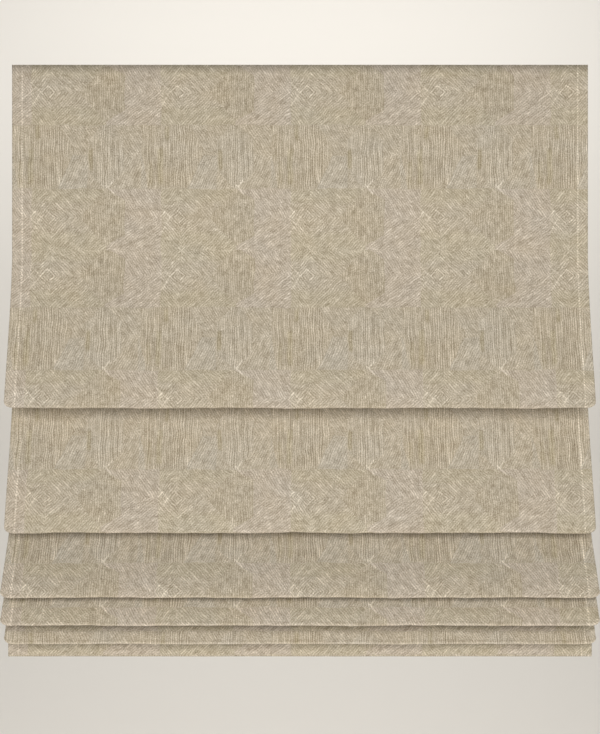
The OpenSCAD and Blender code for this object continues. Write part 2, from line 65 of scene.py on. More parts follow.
# Sizes of the blind, in millimetres, as the part's source has them
WIDTH = 900.0
CLOTH_T = 1.0
LINING_T = 0.6
PLY_GAP = 0.3
SIDE_HEM = 16.0
BOTTOM_HEM = 36.0
HEAD_Y = -23.6
RAIL_TOP = -1.5
ROD_Z = [-274.5, -470.0, -657.0, -709.0, -754.0, -794.0]
NOSE_Z = [-536.0, -726.0, -820.0, -862.0, -895.0]
FLAP_Z = -920.0
REACH = [49.0, 49.0, 72.0, 72.0, 49.0]
FLAP_REACH = 24.0
BEND = [3.0, 3.0, 3.0, 3.0, 2.6]
NOSE_TURN = 145.0
CREST_R = 3.0
CREST_BACK = 6.0
POCKET_R = 2.8
POCKET_OUT = 3.4
HEM_R = 2.4
UPPER_ROD_Y = -19.4
LIFTED_ROD_Y = -17.6
CORD_X = [-350.0, 0.0, 350.0]
CORD_Y = -9.0
CORD_D = 1.4
AXIS_Z = -15.3
TURNS_L = 28.0
STOP_TOP = -795.9
STOP_L = 10.0

BACK_OF_FACE = CLOTH_T / 2 + PLY_GAP
LINING_W = WIDTH - 2 * (SIDE_HEM + 1)
CREST_Z = [z - POCKET_OUT - BACK_OF_FACE - CREST_R for z in ROD_Z[1:]]


def mesh_piece(name, points, faces, smooth=True):
    """A mesh object from points in millimetres"""
    mesh = bpy.data.meshes.new(name)
    mesh.from_pydata((np.asarray(points) * MM).tolist(), [], faces)
    mesh.polygons.foreach_set("use_smooth", [smooth] * len(mesh.polygons))
    mesh.update()
    piece = bpy.data.objects.new(name, mesh)
    bpy.context.scene.collection.objects.link(piece)
    return piece


def tube(name, path, radii, sides):
    """A closed tube round a path of points in millimetres, with a radius at each point"""
    path = np.asarray(path, float)
    ahead = np.gradient(path, axis=0)
    ahead /= np.linalg.norm(ahead, axis=1)[:, None]
    side = np.cross(ahead[0], (1.0, 0.0, 0.0) if abs(ahead[0][0]) < 0.9 else (0.0, 1.0, 0.0))
    points = []
    for centre, way, r in zip(path, ahead, radii):
        side = side - way * (side @ way)
        side = side / np.linalg.norm(side)
        up = np.cross(way, side)
        for k in range(sides):
            a = 2 * math.pi * k / sides
            points.append(centre + r * (math.cos(a) * side + math.sin(a) * up))
    faces = []
    for i in range(len(path) - 1):
        for k in range(sides):
            a, b = i * sides + k, i * sides + (k + 1) % sides
            faces.append((a, b, b + sides, a + sides))
    faces.append(tuple(reversed(range(sides))))
    faces.append(tuple(range((len(path) - 1) * sides, len(path) * sides)))
    piece = mesh_piece(name, points, faces)
    run = np.concatenate([[0], np.cumsum(np.linalg.norm(np.diff(path, axis=0), axis=1))]) * MM
    layer = piece.data.uv_layers.new(name="cord_metres")
    for face in piece.data.polygons:
        turns = [v % sides for v in face.vertices]
        wraps = max(turns) - min(turns) > 1 and face.loop_total == 4
        for loop in face.loop_indices:
            v = piece.data.loops[loop].vertex_index
            turn = v % sides
            around = (sides if wraps and turn == 0 else turn) / sides
            layer.data[loop].uv = (around, run[v // sides])
    return piece


# Lift cords: wound on the spool, then straight down through the clips to a knot under the stop
CORD_SIDES = 8
STEPS_PER_TURN = 20
STRAIGHT_POINTS = 60
TAIL_L, TAIL_SHRINK = 6.0, 0.9
KNOT_POINTS, KNOT_STEP = 9, 0.7
KNOT_AT, KNOT_SPREAD, KNOT_SWELL = 5.0, 1.6, 0.9
KNOT_CLEAR, AXIS_CLEAR = 8.0, 1.0
WOUND_SHRINK = 0.97


def lift_cord(name, x):
    wound_r = -CORD_Y
    path, radii = [], []
    tail = STOP_TOP - STOP_L - TAIL_L
    for step in range(KNOT_POINTS):
        path.append((x, CORD_Y, tail + KNOT_STEP * step))
        knot = math.exp(-((step - KNOT_AT) / KNOT_SPREAD) ** 2)
        radii.append(CORD_D / 2 * (TAIL_SHRINK + KNOT_SWELL * knot))
    for z in np.linspace(tail + KNOT_CLEAR, AXIS_Z - AXIS_CLEAR, STRAIGHT_POINTS):
        path.append((x, CORD_Y, z))
        radii.append(CORD_D / 2)
    for step in range(int(TURNS_L / CORD_D * STEPS_PER_TURN)):
        a = 2 * math.pi * step / STEPS_PER_TURN
        along = x + CORD_D * step / STEPS_PER_TURN
        path.append((along, -wound_r * math.cos(a), AXIS_Z + wound_r * math.sin(a)))
        radii.append(CORD_D / 2 * WOUND_SHRINK)
    piece = tube(name + "_wound", path, radii, CORD_SIDES)
    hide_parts(name)
    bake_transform(piece)
    return piece


cords = [lift_cord("lift_cord_" + side, x) for side, x in zip(("left", "centre", "right"), CORD_X)]

# The cloth's path, as [distance in front of the top panel, height]. The weaver's pattern lies on each
# strip as the photograph shows it: a slip moves it along the cloth, and changes only inside a crest
PATTERN_SLIP = [0.0, -19.5, -44.0, -91.5, -196.3, -171.4]
FLAT_BELOW_ROD = 32.0

# Points along each stretch of the path
TOP_POINTS, FRONT_POINTS, NOSE_POINTS, BACK_POINTS, CREST_POINTS = 22, 40, 10, 20, 8
FLAP_POINTS, HEM_POINTS, HEM_TURN_POINTS, HEM_BACK_POINTS = 24, 12, 14, 8

# How freely the cloth sways at the foot of the top panel and in the flap, where a fold's edge has 1, and
# how that grows down a front ply and dies away up a back ply
TOP_FREE, FLAP_FREE = 0.12, 0.6
FRONT_EASE, BACK_EASE = 1.6, 1.3

# The rounded ends of a fold's lower edge, and how far the flap's hem lies below the lining's end
CORNER_R, CORNER_LIFT = 14.0, 8.0
HEM_DROP = 6.0


def curve(a, b, c, d, n):
    """n points of a cubic curve from a to d, without a itself"""
    t = np.linspace(0, 1, n + 1)[1:, None]
    s = 1 - t
    return s**3 * a + 3 * s * s * t * b + 3 * s * t * t * c + t**3 * d


def arc(centre, r, start, end, n):
    """n points of an arc between two angles in degrees, without its first"""
    a = np.radians(np.linspace(start, end, n + 1)[1:])
    return centre + r * np.stack([np.cos(a), np.sin(a)], 1)


def front_ply(a, b, n):
    """The front of a fold, which leans out from a and hangs upright at b"""
    d = b - a
    return curve(a, a + d * (0.18, 0.4), a + d * (0.95, 0.86), b, n)


def back_ply(a, b, n):
    """The back of a fold, from its lower edge up to the crest behind it"""
    d = b - a
    turn = math.radians(NOSE_TURN)
    away = 0.3 * np.linalg.norm(d) * np.array([-math.sin(turn), -math.cos(turn)])
    return curve(a, a + away, b - (0, 0.35 * d[1]), b, n)


class Path:
    """Points of the cloth's line, each with the fold it lies in, how freely it can sway there, how near
    it is to the fold's lower edge, and how far the pattern is moved along it"""

    def __init__(self):
        self.points, self.fold, self.free, self.edge, self.slip = [], [], [], [], []

    def add(self, points, fold, free, edge=0.0, slip=None):
        count = len(points)
        self.points += [np.array(p, float) for p in points]
        self.fold += [fold] * count
        self.free += list(free)
        self.edge += list(np.broadcast_to(edge, count))
        self.slip += list(np.broadcast_to(PATTERN_SLIP[fold] if slip is None else slip, count))


def near_edge(points, tip):
    """1 at a fold's lower edge, falling to 0 a corner's height above it"""
    return np.clip(1 - (points[:, 1] - tip[1]) / CORNER_R, 0, 1)


def cloth_path():
    path = Path()
    noses = []
    flat_end = ROD_Z[0] - FLAT_BELOW_ROD
    top = [(0.0, z) for z in np.linspace(RAIL_TOP, flat_end, TOP_POINTS)]
    path.add(top, 0, np.linspace(0, TOP_FREE, TOP_POINTS))
    start = np.array([0.0, flat_end])
    for i in range(len(NOSE_Z)):
        crest = np.array([-CREST_BACK, CREST_Z[i]])
        tip = np.array([REACH[i], NOSE_Z[i] + BEND[i]])
        front = front_ply(start, tip, FRONT_POINTS)
        ease = np.linspace(0, 1, FRONT_POINTS + 1)[1:]
        base = TOP_FREE if i == 0 else 0.0
        path.add(front, i, base + (1 - base) * ease**FRONT_EASE, near_edge(front, tip))
        noses.append(len(path.points))
        nose = arc(tip - (BEND[i], 0), BEND[i], 0, -NOSE_TURN, NOSE_POINTS)
        path.add(nose, i, [1.0] * NOSE_POINTS, 1.0)
        back = back_ply(nose[-1], crest + (CREST_R, 0), BACK_POINTS)
        ease = np.linspace(1, 0, BACK_POINTS + 1)[1:]
        path.add(back, i, ease**BACK_EASE, near_edge(back, tip))
        slip = np.linspace(PATTERN_SLIP[i], PATTERN_SLIP[i + 1], CREST_POINTS)
        path.add(arc(crest, CREST_R, 0, 180, CREST_POINTS), i, [0.0] * CREST_POINTS, slip=slip)
        start = crest - (CREST_R, 0)

    # The flap, then its pocket hem round the bottom bar
    flap = len(NOSE_Z)
    flap_top = np.array([FLAP_REACH, FLAP_Z + BOTTOM_HEM + HEM_DROP])
    flap_free = np.linspace(0, FLAP_FREE, FLAP_POINTS + 1)[1:]
    path.add(front_ply(start, flap_top, FLAP_POINTS), flap, flap_free)
    lined = len(path.points)
    bar_z, back = FLAP_Z + HEM_R, FLAP_REACH - 2 * HEM_R
    hem = [(FLAP_REACH, z) for z in np.linspace(flap_top[1], bar_z, HEM_POINTS + 1)[1:]]
    hem += list(arc(np.array([FLAP_REACH - HEM_R, bar_z]), HEM_R, 0, -180, HEM_TURN_POINTS))
    hem += [(back, z) for z in np.linspace(bar_z, FLAP_Z + BOTTOM_HEM, HEM_BACK_POINTS + 1)[1:]]
    path.add(hem, flap, [FLAP_FREE] * len(hem))
    return path, lined, noses


cloth_line, LINED, NOSES = cloth_path()
PATH = np.array(cloth_line.points)
STEP = np.linalg.norm(np.diff(PATH, axis=0), axis=1)
ARC_LENGTH = np.concatenate([[0], np.cumsum(STEP)])
PATTERN_V = ARC_LENGTH + np.array(cloth_line.slip)
AHEAD = np.gradient(PATH, axis=0)
AHEAD /= np.linalg.norm(AHEAD, axis=1)[:, None]

# Slow waves along each fold: the cloth isn't quite straight between the cords
SWAY_HEIGHT = [0.8, 0.9, 0.7, 0.7, 0.5, 0.25]
SWAY_REACH = [1.6, 1.6, 1.0, 0.9, 0.8, 0.3]
SWAY_LENGTHS = [290.0, 171.0, 118.0, 53.0, 37.0]
SWAY_WEIGHTS = [0.45, 0.35, 0.3, 0.22, 0.16]
sway_phase = np.random.default_rng(7).uniform(0, 2 * math.pi, (6, 2, len(SWAY_LENGTHS)))


def sway(fold, x, kind):
    waves = [
        weight * np.sin(2 * math.pi * x / length + phase)
        for weight, length, phase in zip(SWAY_WEIGHTS, SWAY_LENGTHS, sway_phase[fold, kind])
    ]
    return sum(waves)


# The map for baking: its margin, the width that is left to what the lining hides, as a share of its own,
# and the least width of a column in millimetres
MAP_EDGE = 0.004
HIDDEN_SHARE = 0.02
LEAST_COLUMN = 0.5


def bake_map(piece, columns, last):
    """A map of the sheet for its baked texture: the upper and the lower half of its length side by side,
    at full width where the sheet shows and narrow where the lining hides it"""
    count = len(columns)
    widths = []
    for k in range(count):
        (x0, depth0, _), (x1, depth1, _) = columns[k], columns[(k + 1) % count]
        inside_hems = max(abs(x0), abs(x1)) <= WIDTH / 2 - SIDE_HEM + 0.1
        hidden = x1 < x0 and min(depth0, depth1) >= 0 and inside_hems
        widths.append(max(LEAST_COLUMN, abs(x1 - x0) * (HIDDEN_SHARE if hidden else 1.0)))
    u = np.concatenate([[0.0], np.cumsum(widths)])
    u = u / u[-1] * (0.5 - 2 * MAP_EDGE) + MAP_EDGE
    middle = int(np.searchsorted(ARC_LENGTH[:last], ARC_LENGTH[last - 1] / 2))
    v = np.zeros((2, last))
    for side, (first, end) in enumerate(((0, middle), (middle, last - 1))):
        run = (ARC_LENGTH[:last] - ARC_LENGTH[first]) / (ARC_LENGTH[end] - ARC_LENGTH[first])
        v[side] = MAP_EDGE + run * (1 - 2 * MAP_EDGE)
    places = []
    for i in range(last - 1):
        side = 0 if i < middle else 1
        low, high = v[side, i], v[side, i + 1]
        for k in range(count):
            left, right = u[k] + side / 2, u[k + 1] + side / 2
            places += [(left, low), (left, high), (right, high), (right, low)]
    # The cut ends share one small square in the margin
    rest = len(piece.data.loops) - len(places)
    edge = MAP_EDGE / 4
    places += [(edge, edge), (edge * 2, edge), (edge * 2, edge * 2), (edge, edge * 2)] * (rest // 4)
    layer = piece.data.uv_layers.new(name="OFBake")
    layer.data.foreach_set("uv", np.array(places, np.float32).ravel())


# Over this length past the lining's end, the face cloth's side hems close in on the cloth
CLOSE_OVER = 5.0


def swept(name, columns, last):
    """A closed sheet swept along the cloth's path. columns gives each point of its section as
    (x, depth behind the path, depth once the lining has ended)"""
    x = np.array([c[0] for c in columns])
    count = len(columns)
    points, maps = [], []
    into_corner = np.clip((np.abs(x) - (WIDTH / 2 - CORNER_R)) / CORNER_R, 0, 1)
    corner = CORNER_LIFT * (1 - np.sqrt(1 - into_corner**2))
    for i in range(last):
        f, z = PATH[i]
        t = AHEAD[i]
        ended = 0.0 if i < LINED else min(1.0, (ARC_LENGTH[i] - ARC_LENGTH[LINED - 1]) / CLOSE_OVER)
        depth = np.array([c[1] + (c[2] - c[1]) * ended for c in columns])
        fold, free = cloth_line.fold[i], cloth_line.free[i]
        lift = free * SWAY_HEIGHT[fold] * sway(fold, x, 0) + corner * cloth_line.edge[i] ** 2
        out = free * SWAY_REACH[fold] * sway(fold, x, 1)
        forward = f + depth * t[1] + out
        height = z - depth * t[0] + lift
        points.append(np.stack([x, HEAD_Y - forward, height], 1))
        maps.append(np.stack([x + WIDTH / 2, np.full(count, PATTERN_V[i])], 1))
    faces = []
    for i in range(last - 1):
        for k in range(count):
            a, b = i * count + k, i * count + (k + 1) % count
            faces.append((a, a + count, b + count, b))
    half = count // 2
    for row in (0, last - 1):
        # The cut ends of the cloth are closed as strips between its front and its back
        for k in range(half - 1):
            a, b = row * count + k, row * count + k + 1
            c, d = row * count + count - 1 - k, row * count + count - 2 - k
            faces.append((a, b, d, c) if row == 0 else (a, c, d, b))
    piece = mesh_piece(name, np.concatenate(points), faces)
    place = np.concatenate(maps) * MM
    layer = piece.data.uv_layers.new(name="cloth_metres")
    loops = np.zeros(len(piece.data.loops), np.int32)
    piece.data.loops.foreach_get("vertex_index", loops)
    layer.data.foreach_set("uv", place[loops].astype(np.float32).ravel())
    bake_map(piece, columns, last)
    piece.data.uv_layers.active = piece.data.uv_layers["cloth_metres"]
    return piece


# Columns across the cloths between the hems, and the places of those in a hem, from the edge inwards. The
# face cloth's back has two fewer, because each hem's raw edge adds one there. A hem is rounded off at its
# fold by HEM_ROUND, and its raw edge slants by RAW_EDGE
FACE_COLUMNS, LINING_COLUMNS = 91, 63
HEM_COLUMNS = [0.0, 0.5, 2.0, 4.0, 6.5, 9.5, 13.0]
HEM_ROUND, RAW_EDGE = 0.5, 0.4


def face_columns():
    half, hem_back = WIDTH / 2, BACK_OF_FACE + LINING_T
    thin = CLOTH_T / 2
    inner = half - SIDE_HEM
    front = [(-half + d, 0.0 if d == 0 else -thin, 0.0 if d == 0 else -thin) for d in HEM_COLUMNS]
    turned = [(-x, depth, ended) for x, depth, ended in reversed(front)]
    front += [(x, -thin, -thin) for x in np.linspace(-inner, inner, FACE_COLUMNS)] + turned
    back = [(half, hem_back - HEM_ROUND, thin / 2)]
    back += [(half - d, hem_back, thin) for d in HEM_COLUMNS[1:]]
    back += [(inner + RAW_EDGE, hem_back, thin), (inner, thin, thin)]
    turned = [(-x, depth, ended) for x, depth, ended in reversed(back)]
    back += [(x, thin, thin) for x in np.linspace(inner, -inner, FACE_COLUMNS - 2)[1:-1]]
    return front + back + turned


def lining_columns():
    half = LINING_W / 2
    inside, outside = BACK_OF_FACE, BACK_OF_FACE + LINING_T
    xs = np.linspace(-half, half, LINING_COLUMNS)
    return [(x, inside, inside) for x in xs] + [(x, outside, outside) for x in xs[::-1]]


face = swept("face_cloth", face_columns(), len(PATH))
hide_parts("face_fabric")
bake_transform(face)

lining = swept("lining_cloth", lining_columns(), LINED)
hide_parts("lining")

# Rod pockets: the gap at each cord clip, the points round and along a sleeve, and its small creases
POCKET_GAP = 12.0
POCKET_SIDES = 20
POCKET_STEP, LEAST_STEPS = 9, 4
POCKET_INSET = 0.08
CREASE = 0.10


def rod_pocket(number):
    """The sewn sleeves round one rod, open at the cord clips"""
    y, z = (UPPER_ROD_Y if number == 0 else LIFTED_ROD_Y), ROD_Z[number]
    stops = [-LINING_W / 2] + [x + s * POCKET_GAP / 2 for x in CORD_X for s in (-1, 1)] + [LINING_W / 2]
    points, faces = [], []
    for left, right in zip(stops[0::2], stops[1::2]):
        steps = max(LEAST_STEPS, int((right - left) / POCKET_STEP))
        first = len(points)
        xs = [left + (right - left) * step / steps for step in range(steps + 1)]
        rings = [(x, POCKET_OUT - POCKET_INSET, True) for x in xs]
        rings += [(x, POCKET_R, False) for x in reversed(xs)]
        for x, r, outside in rings:
            for k in range(POCKET_SIDES):
                a = 2 * math.pi * k / POCKET_SIDES
                crease = CREASE * math.sin(x / 5.1 + 2 * a + number) * math.sin(x / 17.0 + a * 3)
                reach = r + (crease if outside else 0)
                points.append((x, y + reach * math.cos(a), z + reach * math.sin(a)))
        count = len(rings)
        for i in range(count):
            ring, following = first + i * POCKET_SIDES, first + (i + 1) % count * POCKET_SIDES
            for k in range(POCKET_SIDES):
                n = (k + 1) % POCKET_SIDES
                faces.append((ring + k, ring + n, following + n, following + k))
    piece = mesh_piece("rod_pocket_%d" % (number + 1), points, faces)
    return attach(piece, "headrail" if number == 0 else "fold_stack")


pockets = [rod_pocket(number) for number in range(len(ROD_Z))]
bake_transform(lining)


class Term:
    """A shader socket, with the arithmetic that lets patterns be written as plain sums"""

    def __init__(self, tree, socket):
        self.tree, self.socket = tree, socket

    def __add__(self, other):
        return maths("ADD", self, other)

    def __sub__(self, other):
        return maths("SUBTRACT", self, other)

    def __rsub__(self, other):
        return maths("SUBTRACT", other, self)

    def __mul__(self, other):
        return maths("MULTIPLY", self, other)

    def __truediv__(self, other):
        return maths("DIVIDE", self, other)

    __radd__, __rmul__ = __add__, __mul__


def feed(tree, value, socket):
    if isinstance(value, Term):
        tree.links.new(value.socket, socket)
    else:
        socket.default_value = value


def maths(kind, *values):
    tree = next(v.tree for v in values if isinstance(v, Term))
    node = tree.nodes.new("ShaderNodeMath")
    node.operation = kind
    for value, socket in zip(values, node.inputs):
        feed(tree, value, socket)
    return Term(tree, node.outputs[0])


def ramp(value, low, high):
    """0 below low, 1 above high, and smooth between them"""
    node = value.tree.nodes.new("ShaderNodeMapRange")
    node.interpolation_type = "SMOOTHSTEP"
    for name, number in (("Value", value), ("From Min", low), ("From Max", high)):
        feed(value.tree, number, node.inputs[name])
    return Term(value.tree, node.outputs["Result"])


def above(value, edge, soft=3.0):
    """1 where value is above edge, which may itself vary"""
    return ramp(value - edge, -soft, soft)


def mix(a, b, share):
    """a where share is 0, b where it is 1"""
    return (b - a) * share + a


def vector(tree, *parts):
    node = tree.nodes.new("ShaderNodeCombineXYZ")
    for part, socket in zip(parts, node.inputs):
        feed(tree, part, socket)
    return Term(tree, node.outputs[0])


def noise(place, scale=1.0, detail=1.0, rough=0.5, flat=True):
    node = place.tree.nodes.new("ShaderNodeTexNoise")
    node.noise_dimensions = "2D" if flat else "3D"
    feed(place.tree, place, node.inputs["Vector"])
    for name, number in (("Scale", scale), ("Detail", detail), ("Roughness", rough)):
        node.inputs[name].default_value = number
    return Term(place.tree, node.outputs[0])


def colour_of(tree, red, green, blue):
    """A colour from display values, made linear"""
    node = tree.nodes.new("ShaderNodeCombineColor")
    for part, socket in zip((red, green, blue), node.inputs):
        feed(tree, part, socket)
    linear = tree.nodes.new("ShaderNodeGamma")
    linear.inputs["Gamma"].default_value = 2.2
    tree.links.new(node.outputs[0], linear.inputs["Color"])
    return Term(tree, linear.outputs[0])


def new_material(name, roughness, **numbers):
    material = bpy.data.materials.new(name)
    material.use_nodes = True
    tree = material.node_tree
    shader = tree.nodes["Principled BSDF"]
    shader.inputs["Roughness"].default_value = roughness
    for socket, number in numbers.items():
        shader.inputs[socket.replace("_", " ")].default_value = number
    return material, tree, shader


def add_bump(tree, shader, height, strength, distance):
    node = tree.nodes.new("ShaderNodeBump")
    node.inputs["Strength"].default_value = strength
    node.inputs["Distance"].default_value = distance
    feed(tree, height, node.inputs["Height"])
    tree.links.new(node.outputs[0], shader.inputs["Normal"])


def by_metres(tree, name):
    """The two places along a piece's map"""
    where = tree.nodes.new("ShaderNodeUVMap")
    where.uv_map = name
    split = tree.nodes.new("ShaderNodeSeparateXYZ")
    tree.links.new(where.outputs[0], split.inputs[0])
    return Term(tree, split.outputs[0]), Term(tree, split.outputs[1])


# Face weave. The pattern is drawn in quarter pixels of the photograph: 4 units are 1.5625 mm of cloth
UNIT = MM_PER_PIXEL / 4
REPEAT_W, REPEAT_H = 518.8, 735.0
PATTERN_LEFT, PATTERN_TOP = 21.9, 2.3

# Rows of one repeat: the middles of the two diamond rows and where the second takes over from the first,
# and the top, middle and end of the striped row between them
FIRST_MIDDLE, SECOND_MIDDLE, SECOND_FROM = 105.0, 605.0, 360.0
BANDED_TOP, BANDED_MIDDLE, BANDED_END = 235.0, 357.0, 490.0

# Where a diamond row's node lies, and where its parts begin or end across the row, counted from there
NODE_P = 22.0
OPENING_END, HEXAGON_LEFT, CHEVRON_LEFT, HEXAGON_RIGHT = 78.0, 193.0, 298.0, 373.0

# Colours as display levels: the cloth's own, the tints of the pattern's areas and of two slow drifts of the
# dye, all taken at the share TINT, and what two kinds of stained thread take away
DISPLAY_BASE = (181.0, 169.5, 149.5)
TINT = 0.33
HEXAGON_TINT, OUTER_TINT, CHEVRON_TINT = (-3.0, -4.5, -8.0), (-2.0, -1.0, -7.0), (1.0, -1.0, 6.0)
BANDS_TINT, FAN_TINT, STRIPES_TINT = (2.0, 4.0, 7.0), (1.0, 5.0, 11.0), (0.0, -1.5, -4.0)
DRIFT_TINT, DRIFT_2_TINT = (10.0, 0.0, -16.0), (0.0, 5.0, 14.0)
RUST, OLIVE = (16.0, 17.0, 22.0), (8.0, 8.0, 12.0)

# Width of a thread, and the strength of each part of the weave in display levels
PITCH = 9.0
RULE = 17.0
HATCH, DASH, LONG = 19.0, 36.0, 16.0
GRAIN, YARN, MOTTLE, BANDED_MOTTLE, CLOUD = 74.0, 48.0, 20.0, 8.0, 34.0
RING, RAY, CROSSING = 26.0, 22.0, 26.0
SEAM, SEAM_STITCH, HEM_PALE = 6.0, 26.0, 3.0
CHEVRON_PALE, HEXAGON_DARK, UPRIGHT_DARK = 2.2, 2.8, 1.2
NODE_GLOW, NODE_LINE, SPOT = 3.0, 12.0, 10.0

# The hem's stitch length, and the painted highlight on each fold's edge with its painted shade line above
STITCH = 4.2
# Strength of the painted highlight at each fold's edge; the painted shade line above it takes 0.7 of it
EDGE_HIGHLIGHT = [4.0, 4.0, 7.0, 11.0, 15.0]
EDGE_HIGHLIGHT_PAST, EDGE_HIGHLIGHT_REACH = 2.2, 2.6


def white(place):
    node = place.tree.nodes.new("ShaderNodeTexWhiteNoise")
    node.noise_dimensions = "2D"
    feed(place.tree, place, node.inputs["Vector"])
    return Term(place.tree, node.outputs["Value"])


def stroke_at(p, q, p0, q0, angle, length, width):
    """One stroke of the pattern, from a point at an angle in degrees below the horizontal"""
    c, s = math.cos(math.radians(angle)), math.sin(math.radians(angle))
    run = (p - p0) * c + (q - q0) * s
    aside = maths("ABSOLUTE", (q - q0) * c - (p - p0) * s)
    begun = ramp(run, -4.0, 2.0)
    return (1.0 - ramp(aside, width * 0.25, width)) * begun * (1.0 - ramp(run, length * 0.6, length))


def face_weave():
    material, tree, shader = new_material(
        "face_weave", 0.88, Specular_IOR_Level=0.25, Sheen_Weight=0.1, Sheen_Roughness=0.5,
    )
    u, v = by_metres(tree, "cloth_metres")
    u, v = u * 1000.0, v * 1000.0

    # Hand-drawn waver of the whole pattern
    waver = noise(vector(tree, u / 30.0, v / 30.0)) - 0.5
    waver_2 = noise(vector(tree, u / 26.0 + 40.0, v / 26.0)) - 0.5
    p = maths("WRAP", (u - PATTERN_LEFT) / UNIT + waver * 12.0, REPEAT_W, 0.0)
    q = maths("WRAP", (v - PATTERN_TOP) / UNIT + waver_2 * 12.0, REPEAT_H, 0.0)

    # Rows: hexagons and nested diamonds above and below a row of striped bands
    second = above(q, SECOND_FROM, 0.5)
    banded = above(q, BANDED_TOP, 1.0) * (1.0 - above(q, BANDED_END, 1.0))
    r_diamond = q - mix(FIRST_MIDDLE, SECOND_MIDDLE, second)
    r_banded = q - BANDED_MIDDLE
    r = mix(r_diamond, r_banded, banded)
    h = maths("ABSOLUTE", r)
    low = above(r, 0.0, 0.5)

    # Diamond rows
    xn = maths("WRAP", p - NODE_P, REPEAT_W, 0.0)
    cut = maths("MAXIMUM", h - 70.0, 0.0)
    hexagon = above(xn, HEXAGON_LEFT + h * 0.913, 1.0) * (1.0 - above(xn, HEXAGON_RIGHT - cut * 1.667, 1.0))
    chevron = above(xn, CHEVRON_LEFT, 1.0) * (1.0 - hexagon)
    diamond = (1.0 - hexagon) * (1.0 - chevron)
    opening = 1.0 - above(xn, OPENING_END, 1.0)
    slope_diamond = diamond * (0.95 - opening * 1.75) + chevron * (0.65 + low * 0.55)

    # Banded rows
    pb = maths("WRAP", p + 60.0, REPEAT_W, 0.0)
    upper_cut = maths("MAXIMUM", -27.0 - r_banded, 0.0) * 0.63
    lower_cut = maths("MAXIMUM", r_banded + 12.0, 0.0) * 0.48
    left_edge = 4.0 + maths("MAXIMUM", r_banded, 0.0) * 0.2
    stripes = above(pb, left_edge, 1.0) * (1.0 - above(pb, 254.0 - upper_cut - lower_cut, 1.0))
    band_half = 72.0 - maths("MAXIMUM", h - 62.0, 0.0) * 0.95
    bands = 1.0 - above(maths("ABSOLUTE", pb - 380.0), band_half, 1.0)
    upright = maths("MINIMUM", stripes + bands, 1.0) * banded
    slope_banded = (1.0 - upright) * (0.65 - low * 0.17)

    # Threads lie along the slope of their area, mirrored about the row's middle. Large steps keep the
    # threads of one row from being those of the next
    slope = mix(slope_diamond, slope_banded, banded)
    x = mix(xn, pb, banded)
    spread = maths("SQRT", slope * slope + 1.0)
    shake = noise(vector(tree, u / 24.0 + 20.0, v / 24.0), detail=1.0) - 0.5
    across = (x + slope * h) / spread + shake * 6.0
    lower = second * (1.0 - banded)
    along = r * spread + banded * 977.0 + lower * 311.0
    row = banded * 7.0 + lower * 3.0 + low * (1.0 - upright) * 11.0

    # Hatch: straight threads side by side, each strong in some stretches and faint in others, and here
    # and there a long pale one
    place = across / PITCH
    thread = maths("FLOOR", place)
    profile = 1.0 - maths("ABSOLUTE", place - thread - 0.5) * 4.0
    lot = white(vector(tree, thread, row))
    reach = 20.0 + upright * 50.0
    dash = noise(vector(tree, thread * 3.17 + lot * 9.0, along / reach), detail=1.0) - 0.5
    far = noise(vector(tree, thread * 2.71 + lot * 5.0 + 50.0, along / (reach * 1.8)), detail=0.0)
    ridge = ramp(profile, -0.4, 0.8)
    line = ramp(far, 0.6, 0.74) * ridge
    dark = (1.0 - ramp(far, 0.26, 0.42)) * ridge
    strong = 1.0 - ramp(far, 0.35, 0.65) * 0.6
    hatch = profile * strong * HATCH + dash * DASH + (line - dark) * LONG

    # Striped rows: some threads are a pale rule with a dark one beside it, right down the row
    ruled = above(lot, 0.6, 0.04) * ramp(far, 0.3, 0.42) * upright
    hatch = hatch + maths("SINE", (place - thread) * (2 * math.pi)) * ruled * RULE

    # The cloth's own yarns
    grain = noise(vector(tree, u / 1.5 + 11.0, v / 1.5), detail=1.0) - 0.5
    warp = noise(vector(tree, u / 0.9, v / 3.6), detail=1.0)
    weft = noise(vector(tree, u / 3.6 + 50.0, v / 0.9), detail=1.0)
    yarn = warp + weft - 1.0
    mottle = noise(vector(tree, across / 15.0 + 9.0, along / (50.0 + upright * 90.0)), detail=1.0) - 0.5
    cloud = noise(vector(tree, u / 11.0 + 70.0, v / 11.0), detail=2.0) - 0.5
    mottled = mottle * (MOTTLE + upright * BANDED_MOTTLE)
    tone = hatch + grain * GRAIN + yarn * YARN + mottled + cloud * CLOUD

    # Pale crossings where the bands of one row meet the hexagons of the next, the hem's stitches, and the
    # painted highlight on each fold's edge with a painted shade line just above it
    crossing = stroke_at(p, q, 322.0, 476.0, 50.0, 66.0, 4.5)
    crossing = crossing + stroke_at(p, q, 330.0, 482.0, -54.0, 48.0, 4.0)
    from_side = maths("MINIMUM", u, WIDTH - u)
    seam = 1.0 - ramp(maths("ABSOLUTE", from_side - SIDE_HEM), 0.7, 1.7)
    stitch = ramp(maths("SINE", v * (2 * math.pi / STITCH)), -0.7, 0.1)
    hem = 1.0 - ramp(from_side, SIDE_HEM - 2.0, SIDE_HEM)
    painted_edge_light = 0.0
    # Painted highlight on each fold's nose, just past its lower edge, and a painted shade line on the front
    # just above it
    for number, nose in enumerate(NOSES):
        past = v - PATTERN_V[nose - 1]
        edge_highlight = 1.0 - ramp(maths("ABSOLUTE", past - EDGE_HIGHLIGHT_PAST), 0.8, EDGE_HIGHLIGHT_REACH)
        edge_shade = 1.0 - ramp(maths("ABSOLUTE", past + EDGE_HIGHLIGHT_PAST), 0.4, EDGE_HIGHLIGHT_REACH)
        painted_edge_light = (edge_highlight - edge_shade * 0.7) * EDGE_HIGHLIGHT[number] + painted_edge_light

